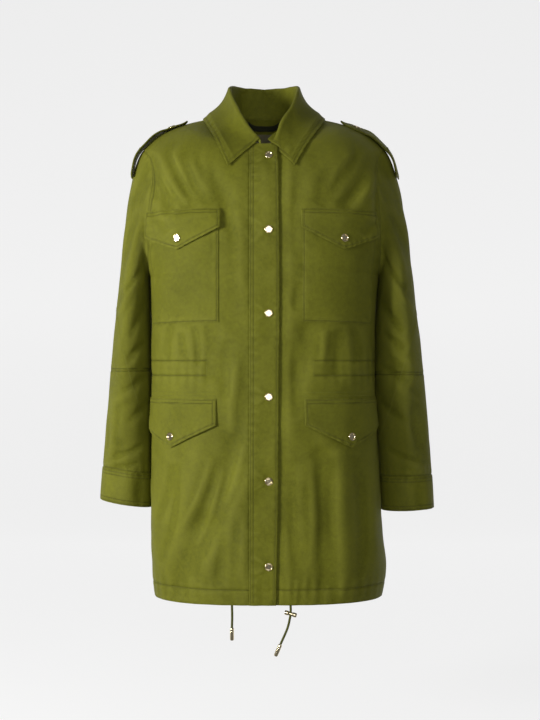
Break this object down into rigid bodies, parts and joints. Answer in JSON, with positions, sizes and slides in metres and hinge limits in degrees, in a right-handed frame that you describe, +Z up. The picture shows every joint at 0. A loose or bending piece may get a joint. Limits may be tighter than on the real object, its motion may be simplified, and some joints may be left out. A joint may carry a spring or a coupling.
{
  "type": "parka",
  "caption": "Hip-length cotton parka with a turned-down collar, snapped front band, flapped pockets, shoulder straps and a hem drawcord, worn form with no wearer.",
  "frame": {"origin": "between the shoulder points, at their height, where the wearer's shoulders hold the coat", "axes": "+Z up along the coat, -Y towards its front, +X towards the wearer's left"},
  "size_m": [0.5724, 0.2602, 0.9499],
  "materials": {
    "cloth": "cotton twill, olive, slight sheen",
    "metal": "pale gold, polished",
    "cord": "dark green braid",
    "plain_cloth": "dark plain tape"
  },
  "bodies": {
    "root": {"front_right": "cloth", "front_left": "cloth", "back": "cloth", "front_band": "cloth", "collar_stand": "cloth", "collar_fall": "cloth", "sleeve_right": "cloth", "sleeve_left": "cloth", "cuff_right": "cloth", "cuff_left": "cloth", "chest_pocket_right": "cloth", "chest_pocket_left": "cloth", "chest_flap_right": "cloth", "chest_flap_left": "cloth", "hip_flap_right": "cloth", "hip_flap_left": "cloth", "shoulder_strap_right": "cloth", "shoulder_strap_left": "cloth", "front_snap_1": "metal", "front_snap_2": "metal", "front_snap_3": "metal", "front_snap_4": "metal", "front_snap_5": "metal", "front_snap_6": "metal", "chest_flap_right_snap": "metal", "chest_flap_left_snap": "metal", "hip_flap_right_snap": "metal", "hip_flap_left_snap": "metal", "shoulder_strap_snap_right": "metal", "shoulder_strap_snap_left": "metal", "cord_end_right": "metal", "cord_end_left": "metal", "cord_stopper": "metal", "hanger_loop": "plain_cloth", "neck_label": "plain_cloth", "drawcord_right": "cord", "drawcord_left_upper": "cord", "drawcord_left_lower": "cord"}
  },
  "joints": []
}
